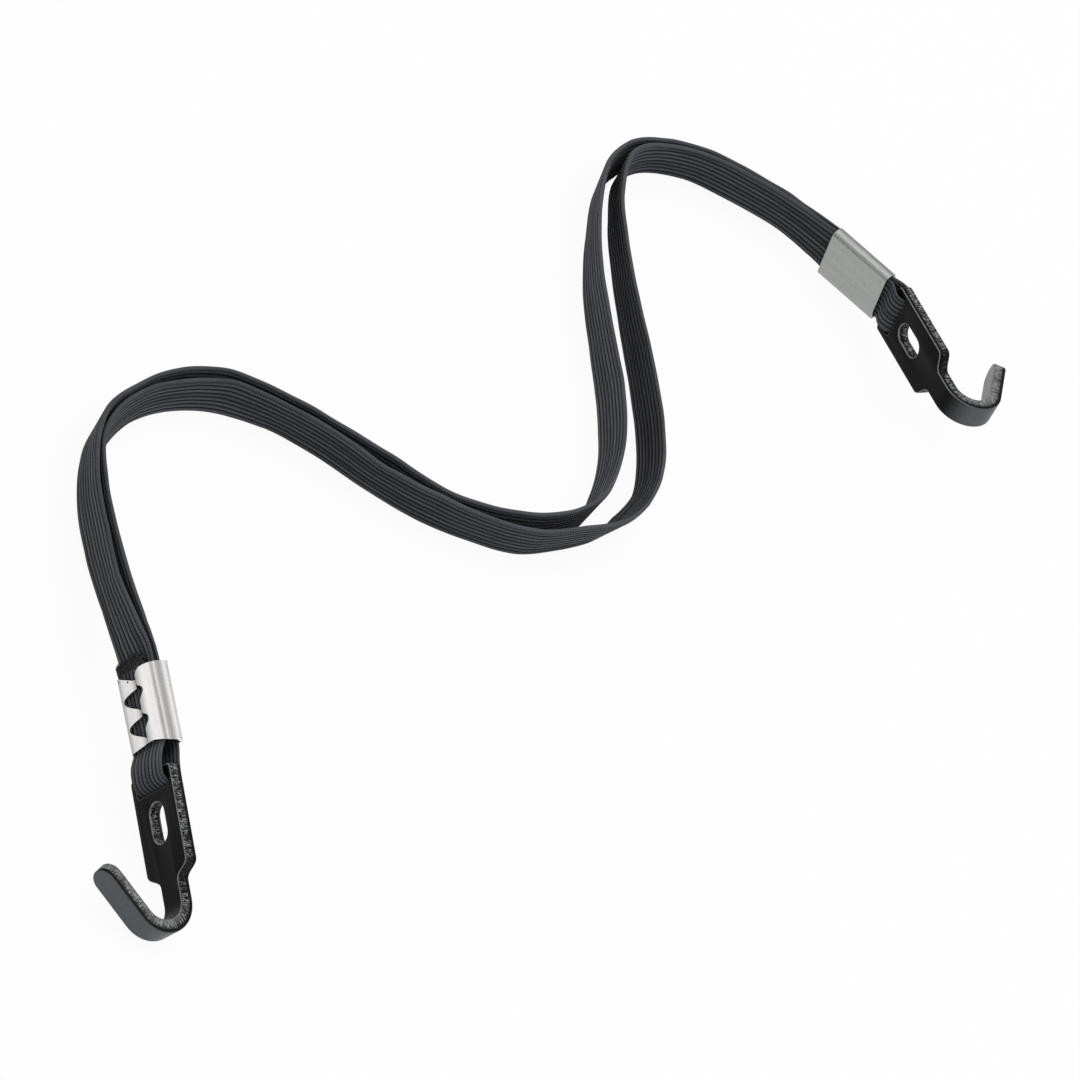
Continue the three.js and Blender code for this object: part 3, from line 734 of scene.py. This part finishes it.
def fray_tree():
    """Geometry nodes: a thin bent fibre at every point, turned along its Out vector by chance."""
    tree = bpy.data.node_groups.new("fray", "GeometryNodeTree")
    face = tree.interface
    face.new_socket("Points", in_out="INPUT", socket_type="NodeSocketGeometry")
    names = {}
    for label, kind in (("Length", "Float"), ("Radius", "Float"), ("Material", "Material")):
        socket = face.new_socket(label, in_out="INPUT", socket_type="NodeSocket" + kind)
        names[label] = socket.identifier
    face.new_socket("Fibres", in_out="OUTPUT", socket_type="NodeSocketGeometry")

    def node(kind, settings, **inputs):
        made = tree.nodes.new(kind)
        for key, value in settings.items():
            setattr(made, key, value)
        for key, value in inputs.items():
            socket = made.inputs[key.replace("_", " ")]
            if isinstance(value, bpy.types.NodeSocket):
                tree.links.new(value, socket)
            else:
                socket.default_value = value
        return made.outputs[0]

    given = tree.nodes.new("NodeGroupInput").outputs
    scale = {"operation": "SCALE"}
    half = node("ShaderNodeVectorMath", scale, Vector=FIBRE_BEND, Scale=given["Length"])
    tip = node("ShaderNodeVectorMath", scale, Vector=(0.0, 0.0, 1.0), Scale=given["Length"])
    line = node("GeometryNodeCurveQuadraticBezier", {}, Resolution=4, Start=(0, 0, 0), Middle=half,
                End=tip)
    ring = node("GeometryNodeCurvePrimitiveCircle", {}, Resolution=3, Radius=given["Radius"])
    fibre = node("GeometryNodeCurveToMesh", {}, Curve=line, Profile_Curve=ring, Fill_Caps=True)
    out = node("GeometryNodeInputNamedAttribute", {"data_type": "FLOAT_VECTOR"}, Name="Out")
    turned = node("FunctionNodeAlignRotationToVector", {"axis": "Z"}, Vector=out)
    shake = node("FunctionNodeRandomValue", {"data_type": "FLOAT_VECTOR"},
                 Min=tuple(-angle for angle in FIBRE_SHAKE), Max=FIBRE_SHAKE, Seed=3)
    turned = node("FunctionNodeRotateRotation", {"rotation_space": "LOCAL"}, Rotation=turned,
                  Rotate_By=shake)
    size = node("FunctionNodeRandomValue", {"data_type": "FLOAT_VECTOR"}, Min=FIBRE_SIZES[0],
                Max=FIBRE_SIZES[1], Seed=5)
    points = node("GeometryNodeMeshToPoints", {}, Mesh=given["Points"])
    fibres = node("GeometryNodeInstanceOnPoints", {}, Points=points, Instance=fibre, Rotation=turned,
                  Scale=size)
    fibres = node("GeometryNodeRealizeInstances", {}, Geometry=fibres)
    fibres = node("GeometryNodeSetMaterial", {}, Geometry=fibres, Material=given["Material"])
    tree.links.new(fibres, tree.nodes.new("NodeGroupOutput").inputs[0])
    return tree, names


def add_fray(place):
    """Loose yarn on the cut end: thick along its edge, thinner over its face."""
    y = rng.uniform(*FRAY_ACROSS, FIBRES)
    back = rng.uniform(0, 1, FIBRES) ** FRAY_THINNING * FRAY_DEPTH
    x = np.interp(y, *STUB_CUT) + back
    half = CRIMP * BAND_THICK / 2
    z = LAYER_PITCH + half * rng.uniform(*FRAY_HEIGHT, FIBRES)
    z = np.where(back > FRAY_EDGE, LAYER_PITCH + half - FRAY_SINK, z)
    lift = np.where(back > FRAY_EDGE, FRAY_LIFT, 0.0)
    points = place.world(np.stack([x, y, z], 1))
    spread = rng.uniform(-FRAY_SPREAD, FRAY_SPREAD, FIBRES)
    out = -place.u[None] + place.n[None] * lift[:, None] + place.w[None] * spread[:, None]
    mesh = bpy.data.meshes.new("left_stub_fray")
    mesh.from_pydata([tuple(p) for p in points], [], [])
    layer = mesh.attributes.new("Out", "FLOAT_VECTOR", "POINT")
    layer.data.foreach_set("vector", out.astype(np.float32).ravel())
    piece = bpy.data.objects.new("left_stub_fray", mesh)
    bpy.context.scene.collection.objects.link(piece)
    tree, names = fray_tree()
    grown = piece.modifiers.new("fray", "NODES")
    grown.node_group = tree
    sizes = {"Length": FIBRE_LENGTH * MM, "Radius": FIBRE_RADIUS * MM, "Material": YARN}
    for label, value in sizes.items():
        grown[names[label]] = value
    return settle(piece)


left_turn = loop_stations(left_ferrule_place, left_hook_place, layers=(LAYER_PITCH, -LAYER_PITCH),
                          reaches=(STUB_REACH, LAYER_END), shift=LEFT_SHIFT, slide=LOOP_SLIDE)
left_loop, _, _ = band_mesh("left_loop_braid", left_turn, torn=STUB_TORN)
cut_stub(left_loop, left_ferrule_place)
right_turn = loop_stations(right_ferrule_place, right_hook_place,
                           layers=(LAYER_PITCH / 2, -LAYER_PITCH / 2),
                           reaches=(LAYER_END, LAYER_END), shift=0, slide=-LOOP_SLIDE)
right_loop, _, _ = band_mesh("right_loop_braid", right_turn)
for piece, body, node in ((left_loop, "left_end", "left_loop"), (right_loop, "strap", "right_loop")):
    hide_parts(node)
    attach(piece, body)
fray = add_fray(left_ferrule_place)
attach(fray, "left_end")


# Hooks: a flat blank with its slot and oval hole, rounded at the edges, then bent into the J.
BLANK_BEVEL = 0.22
BEND_MIDDLE = BEND_RADIUS + PLATE_THICK / 2
BEND_CUT = 0.6
PLATE_STEPS, SHOULDER_STEPS, TIP_STEPS, SLOT_STEPS, OVAL_STEPS = 9, 15, 29, 7, 17
WELD, CUT_SLACK = 1e-4, 1e-5
SHARP_ANGLE = math.radians(32)

# Marks on the hooks: degrees of the bend from which its outside and its inside turn grey as painted
# reflection, how sharply a face ends at its edges, and how the sheared edges and the corners, which get a
# painted highlight, are told apart.
CURL_START, CURL_SPAN = 12, 60
INNER_START, INNER_SPAN = 95, 40
REAR_SLOPE, FRONT_SLOPE = 6, 12
SHEAR_STEEP, SHEAR_FADE = 0.75, 0.5
CORNER_MARGIN = 0.02
SLOT_CORNER_HIGHLIGHT = 0.3


def arc(cx, cy, radius, start, end, steps):
    angles = np.linspace(math.radians(start), math.radians(end), steps)
    return [(cx + radius * math.cos(a), cy + radius * math.sin(a)) for a in angles]


def ease_step(x0, y0, x1, y1, steps):
    """Soft step from one level to another, flat at both ends."""
    pull = (x1 - x0) * 0.5
    out = []
    for t in np.linspace(0, 1, steps):
        x = (1 - t)**3 * x0 + 3 * (1 - t)**2 * t * (x0 + pull)
        x = x + 3 * (1 - t) * t**2 * (x1 - pull) + t**3 * x1
        y = (1 - t)**2 * (1 + 2 * t) * y0 + t**2 * (3 - 2 * t) * y1
        out.append((x, y))
    return out


def hook_outlines():
    """Flat outlines of plate, slot and oval hole, and the place where the bend starts."""
    top = -BAR / 2
    half, neck = PLATE_WIDTH / 2, NECK_WIDTH / 2
    bend = top + BEND_START
    end = bend + BEND_MIDDLE * BEND_ANGLE + TIP_LENGTH - neck
    lower = arc(top - PLATE_LIP + PLATE_ROUND, PLATE_ROUND - half, PLATE_ROUND, 180, 270, PLATE_STEPS)
    lower += ease_step(top + PLATE_STRAIGHT, -half, top + NECK_START, -neck, SHOULDER_STEPS)
    outline = lower + arc(end, 0, neck, -90, 90, TIP_STEPS)
    outline += [(x, -y) for x, y in reversed(lower)]
    near, far = BAR / 2 + SLOT_ROUND, SLOT_END - SLOT_ROUND
    reach = SLOT_WIDTH / 2 - SLOT_ROUND
    slot = []
    for x, y, start in ((far, reach, 0), (near, reach, 90), (near, -reach, 180), (far, -reach, 270)):
        slot += arc(x, y, SLOT_ROUND, start, start + 90, SLOT_STEPS)
    radius = OVAL_WIDTH / 2
    oval_near = SLOT_END + OVAL_WEB + radius
    oval = arc(oval_near + OVAL_LENGTH - OVAL_WIDTH, 0, radius, -90, 90, OVAL_STEPS)
    oval += arc(oval_near, 0, radius, 90, 270, OVAL_STEPS)
    return [outline, slot, oval], bend


def hook_blank(name, outlines, bend):
    """Flat blank from a filled curve, cut into strips where it bends."""
    data = bpy.data.curves.new(name, "CURVE")
    data.dimensions = "2D"
    data.fill_mode = "BOTH"
    data.extrude = PLATE_THICK / 2 - BLANK_BEVEL
    data.bevel_depth = BLANK_BEVEL
    data.offset = -BLANK_BEVEL
    data.bevel_resolution = 2
    for loop in outlines:
        spline = data.splines.new("POLY")
        spline.points.add(len(loop) - 1)
        for point, (x, y) in zip(spline.points, loop):
            point.co = (x, y, 0, 1)
        spline.use_cyclic_u = True
    blank = bpy.data.objects.new(name + "_blank", data)
    bpy.context.scene.collection.objects.link(blank)
    bpy.context.view_layer.update()
    mesh = bpy.data.meshes.new_from_object(blank.evaluated_get(bpy.context.evaluated_depsgraph_get()))
    bpy.data.objects.remove(blank)
    work = bmesh.new()
    work.from_mesh(mesh)
    bmesh.ops.remove_doubles(work, verts=work.verts, dist=WELD)
    stretch = max(v.co.x for v in work.verts)
    for cut in np.arange(bend, stretch, BEND_CUT):
        parts = work.verts[:] + work.edges[:] + work.faces[:]
        bmesh.ops.bisect_plane(work, geom=parts, plane_co=(cut, 0, 0), plane_no=(1, 0, 0),
                               dist=CUT_SLACK)
    bmesh.ops.recalc_face_normals(work, faces=work.faces)
    return mesh, work


def bend_points(flat, bend, turned):
    """Points of the flat blank, bent forwards into the J."""
    beyond = np.maximum(flat[:, 0] - bend - BEND_MIDDLE * BEND_ANGLE, 0)
    radius = BEND_MIDDLE - flat[:, 2]
    bent = flat.copy()
    late = flat[:, 0] > bend
    bent[late, 0] = (bend + radius * np.sin(turned) + beyond * np.cos(turned))[late]
    bent[late, 2] = (BEND_MIDDLE - radius * np.cos(turned) + beyond * np.sin(turned))[late]
    return bent


def hook_marks(flat, steep, turned):
    """What the paint reads at each point of the blank."""
    depth = flat[:, 2] / (PLATE_THICK / 2)
    rear = np.clip(-depth * REAR_SLOPE - (REAR_SLOPE - 1), 0, 1)
    front = np.clip(depth * FRONT_SLOPE - (FRONT_SLOPE - 1), 0, 1)
    ramp = np.clip((np.degrees(turned) - CURL_START) / CURL_SPAN, 0, 1)
    inside = np.clip((np.degrees(turned) - INNER_START) / INNER_SPAN, 0, 1)
    rim = PLATE_THICK / 2 - np.abs(flat[:, 2])
    oval_start = SLOT_END + OVAL_WEB
    in_oval = (np.abs(flat[:, 0] - oval_start - OVAL_LENGTH / 2) < OVAL_LENGTH / 2 + BLANK_BEVEL)
    in_oval &= np.abs(flat[:, 1]) < OVAL_WIDTH / 2 + BLANK_BEVEL
    in_slot = flat[:, 0] < SLOT_END + BLANK_BEVEL
    in_slot &= np.abs(flat[:, 1]) < SLOT_WIDTH / 2 + BLANK_BEVEL
    rounded = (rim > BLANK_BEVEL * CORNER_MARGIN) & (rim < BLANK_BEVEL * (1 - CORNER_MARGIN))
    rounded = rounded * np.where(in_slot, SLOT_CORNER_HIGHLIGHT, 1.0)
    return {
        "Shear": np.clip((SHEAR_STEEP - steep) / SHEAR_FADE, 0, 1),
        "Depth": depth,
        # Masks of the painted reflection on the bend and of the painted highlight on the corners.
        "OuterReflection": rear * ramp * ramp * (3 - 2 * ramp),
        "InnerReflection": front * inside,
        "CornerHighlight": rounded * (1 - ramp * (depth < 0)),
        "Bore": in_oval * 1.0,
        "Curl": ramp,
        "FlatX": flat[:, 0],
        "FlatY": flat[:, 1],
    }


def hook_mesh(name, place):
    """Hook from its blank: bent, placed and marked for its paint."""
    outlines, bend = hook_outlines()
    mesh, work = hook_blank(name, outlines, bend)
    flat = np.array([v.co[:] for v in work.verts])
    steep = np.array([abs(v.normal.z) for v in work.verts])
    turned = np.clip((flat[:, 0] - bend) / BEND_MIDDLE, 0, BEND_ANGLE)
    placed = place.world(bend_points(flat, bend, turned))
    for vertex, co in zip(work.verts, placed):
        vertex.co = co
    work.to_mesh(mesh)
    work.free()
    mesh.materials.clear()
    piece = add_piece(name, mesh, PAINT, hook_marks(flat, steep, turned), smooth=True)
    mesh.set_sharp_from_angle(angle=SHARP_ANGLE)
    return piece


for side, place in (("left", left_hook_place), ("right", right_hook_place)):
    hook = hook_mesh(f"{side}_steel_hook", place)
    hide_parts(f"{side}_hook")
    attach(hook, f"{side}_hook")


# Ferrules: a sheet wrapped round the band from one seam edge to the other, with two toothed openings.
ALONG_STEPS = 120
AROUND_STEPS = 180
SEAM_GAP = 0.12
DENT_SIZE = 0.3
DENT_DEPTH = 0.12
OPENING_STARTS = (-3.45, 1.85)
OPENING_LENGTH = 4.1
OPENING_LOW = 4.7
OPENING_HIGH = 2.5
HIGH_ROOM = 3.9
LOW_ROOM = 5.3
OPENING_APEX = 0.22
OPENING_FALL = 1.25
LOBE_MIDDLE, LOBE_WIDTH, LOBE_SHAPE = 0.24, 0.32, 2.6
LOBE_START, LOBE_END = -0.3, 1.1
EDGE_ROUND = 0.08
EDGE_ANGLE = math.radians(55)
WRAP_STEPS = 8

# Section of the pressed sheet, from the seam round the back to the seam: across, then height as
# a share of half the thickness. The half before the seam bulges, the half after it lies flat.
PRESSED = np.array([
    (0.6, 0.83), (0.85, 0.97), (1.5, 1.08), (2.6, 1.15), (3.8, 1.13), (4.8, 0.98), (5.5, 0.7),
    (5.88, 0.3), (5.95, -0.2), (5.8, -0.65), (5.4, -0.93), (4.7, -1.0), (3.0, -1.0), (1.0, -1.0),
    (-1.0, -1.0), (-3.0, -1.0), (-4.7, -1.0), (-5.4, -0.93), (-5.8, -0.65), (-5.95, -0.2),
    (-5.85, 0.3), (-5.5, 0.66), (-4.9, 0.86), (-4.0, 0.92), (-2.5, 0.92), (-1.0, 0.91), (0.6, 0.9),
])


def wrap(thick):
    """Middle of the sheet round the section, from the seam and back, as (across, through)."""
    keys = PRESSED * (1, thick / 2 - SHEET / 2)
    ring = np.vstack([2 * keys[:1] - keys[1:2], keys, 2 * keys[-1:] - keys[-2:-1]])
    path = [keys[0]]
    for p0, p1, p2, p3 in zip(ring, ring[1:], ring[2:], ring[3:]):
        for t in np.linspace(1 / WRAP_STEPS, 1, WRAP_STEPS):
            path.append(0.5 * (2 * p1 + (p2 - p0) * t + (2 * p0 - 5 * p1 + 4 * p2 - p3) * t**2
                               + (3 * p1 - p0 - 3 * p2 + p3) * t**3))
    path = np.array(path)
    run = np.concatenate([[0], np.cumsum(np.linalg.norm(np.diff(path, axis=0), axis=1))])
    return path, run


def openings(x):
    """Reach of the two toothed openings at one place along the strap: past the seam, before it."""
    high, low = 0.0, 0.0
    for start in OPENING_STARTS:
        f = (x - start) / OPENING_LENGTH
        if 0 < f <= OPENING_APEX:
            low = max(low, OPENING_LOW * math.sqrt(1 - (1 - f / OPENING_APEX) ** 2))
        elif OPENING_APEX < f < 1:
            fall = math.cos((f - OPENING_APEX) / (1 - OPENING_APEX) * math.pi / 2)
            low = max(low, OPENING_LOW * fall ** OPENING_FALL)
        if LOBE_START < f < LOBE_END:
            off = abs((f - LOBE_MIDDLE) / LOBE_WIDTH)
            high = max(high, OPENING_HIGH * math.exp(-off ** LOBE_SHAPE))
    return high, low


def ferrule_mesh(name, place, layers, material, ends, dents):
    """One wrapped sheet: an outer and an inner skin, joined along all four edges."""
    path, run = wrap(layers * LAYER_PITCH + GAP + 2 * SHEET)
    way = np.gradient(path, axis=0)
    out = way[:, ::-1] * (-1, 1) / np.linalg.norm(way, axis=1)[:, None]
    s = np.linspace(0, 1, AROUND_STEPS)
    top = np.interp(s, *ends[0])
    bottom = np.interp(s, *ends[1])
    skins = []
    marks = {"Run": [], "Lane": [], "Mark": []}
    for half in (SHEET / 2, -SHEET / 2):
        for f in np.linspace(0, 1, ALONG_STEPS):
            x = top + (bottom - top) * f
            high, low = openings(x[0])[0], openings(x[-1])[1]
            near = np.maximum(HIGH_ROOM - s * run[-1], 0) / HIGH_ROOM
            far = np.maximum(LOW_ROOM - (1 - s) * run[-1], 0) / LOW_ROOM
            t = s * run[-1] + near * (SEAM_GAP + high) - far * (SEAM_GAP + low)
            y, z, out_y, out_z = (np.interp(t, run, v) for v in (*path.T, *out.T))
            y = y + out_y * half
            z = z + out_z * half
            mark = np.zeros_like(x)
            for px, py in dents:
                spot = np.exp(-((x - px) ** 2 + (y - py) ** 2) / DENT_SIZE ** 2)
                mark = np.maximum(mark, np.where(z > 0, spot, 0))
            skins.append(np.stack([x, y, z - mark * DENT_DEPTH], 1))
            lane = np.where(t < run[-1] / 2, t, t - run[-1])
            for key, values in zip(marks, (x, lane, mark)):
                marks[key].append(values)
    count = ALONG_STEPS * AROUND_STEPS
    grid = np.arange(count).reshape(ALONG_STEPS, AROUND_STEPS)
    cells = np.stack([grid[:-1, :-1], grid[:-1, 1:], grid[1:, 1:], grid[1:, :-1]], -1).reshape(-1, 4)
    faces = [tuple(c) for c in cells] + [tuple(c[::-1] + count) for c in cells]
    for edge in (grid[0, ::-1], grid[-1], grid[:, 0], grid[::-1, -1]):
        faces.extend((a, b, b + count, a + count) for a, b in zip(edge, edge[1:]))
    attributes = {key: np.concatenate(values) for key, values in marks.items()}
    piece = add_mesh(name, place.world(np.concatenate(skins)), faces, material, attributes)
    outward(piece)
    edge = piece.modifiers.new("edge", "BEVEL")
    edge.width = EDGE_ROUND * MM
    edge.segments = 2
    edge.limit_method = "ANGLE"
    edge.angle_limit = EDGE_ANGLE
    return settle(piece)


# Ends of each sheet: share of the way round from the seam, place along the strap.
left_top = ((0, 0.04, 0.085, 0.16, 0.3, 0.66, 0.8, 0.97, 1),
            (-5.4, -6.3, -6.65, -6.65, -6.8, -7.3, -7.4, -5.3, -5.1))
left_bottom = ((0, 0.1, 0.2, 0.3, 0.66, 0.8, 1), (7.0, 7.3, 8.2, 8.4, 7.4, 7.1, 6.9))
square_top = ((0, 1), (MOUTH, MOUTH))
square_bottom = ((0, 1), (-MOUTH, -MOUTH))
punch_marks = [(-6.6, -4.7), (-5.6, -1.9), (-0.6, -1.6), (4.7, -1.3)]
left_ferrule = ferrule_mesh("left_crimp_ferrule", left_ferrule_place, 3, BRIGHT,
                            (left_top, left_bottom), punch_marks)
right_ferrule = ferrule_mesh("right_crimp_ferrule", right_ferrule_place, 2, SATIN,
                             (square_top, square_bottom), [])
for piece, body, node in ((left_ferrule, "left_end", "left_ferrule"),
                          (right_ferrule, "strap", "right_ferrule")):
    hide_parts(node)
    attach(piece, body)


# Floor, sky and lamps.
FLOOR_HALF = 3.0
FLOOR_GLOW = 0.93
SKY_LIGHT = 0.55


def floor_material():
    """White to the eye and to reflections, with a faint shadow left on it."""
    g = Graph("floor")
    g.set(Base_Color=grey(0.8), Roughness=1.0, Specular_IOR_Level=0.0)
    seen = g.node("ShaderNodeLightPath", {}, out="Is Camera Ray")
    mirrored = g.node("ShaderNodeLightPath", {}, out="Is Glossy Ray")
    glow = g.node("ShaderNodeEmission", {}, Color=(1, 1, 1, 1), Strength=1.0)
    lit = Wire(g, g.shader.outputs[0])
    share = g.node("ShaderNodeMixShader", {}, (seen + mirrored) * FLOOR_GLOW, lit, glow)
    g.links.new(share.socket, g.nodes["Material Output"].inputs["Surface"])
    return g.material


def add_stage():
    """Floor, and a sky that is pale to the eye and softer as a light."""
    corners = [(x * FLOOR_HALF, y * FLOOR_HALF, 0) for x, y in ((-1, -1), (1, -1), (1, 1), (-1, 1))]
    floor = add_mesh("floor", corners, [(0, 1, 2, 3)], floor_material(), smooth=False)
    world = bpy.data.worlds.new("studio")
    world.use_nodes = True
    nodes, links = world.node_tree.nodes, world.node_tree.links
    sky = nodes["Background"]
    sky.inputs["Color"].default_value = (1, 1, 1, 1)
    sky.inputs["Strength"].default_value = SKY_LIGHT
    pale = nodes.new("ShaderNodeBackground")
    pale.inputs["Strength"].default_value = 1.0
    path = nodes.new("ShaderNodeLightPath")
    choose = nodes.new("ShaderNodeMixShader")
    links.new(path.outputs["Is Camera Ray"], choose.inputs[0])
    links.new(sky.outputs[0], choose.inputs[1])
    links.new(pale.outputs[0], choose.inputs[2])
    links.new(choose.outputs[0], nodes["World Output"].inputs["Surface"])
    bpy.context.scene.world = world


def add_lamp(name, at, target, size, power):
    data = bpy.data.lights.new(name, "AREA")
    data.energy = power
    data.shape = "RECTANGLE"
    data.size, data.size_y = size
    lamp = bpy.data.objects.new(name, data)
    lamp.location = at
    lamp.rotation_euler = (Vector(target) - Vector(at)).to_track_quat("-Z", "Y").to_euler()
    bpy.context.scene.collection.objects.link(lamp)


add_stage()
add_lamp("overhead", at=(0.1, 0.2, 1.4), target=(0, 0, 0), size=(2.0, 2.0), power=19)
add_lamp("left_fill", at=(-1.4, -0.6, 0.45), target=(0, 0, 0), size=(1.4, 0.8), power=2)
bpy.context.scene.view_settings.view_transform = "Standard"
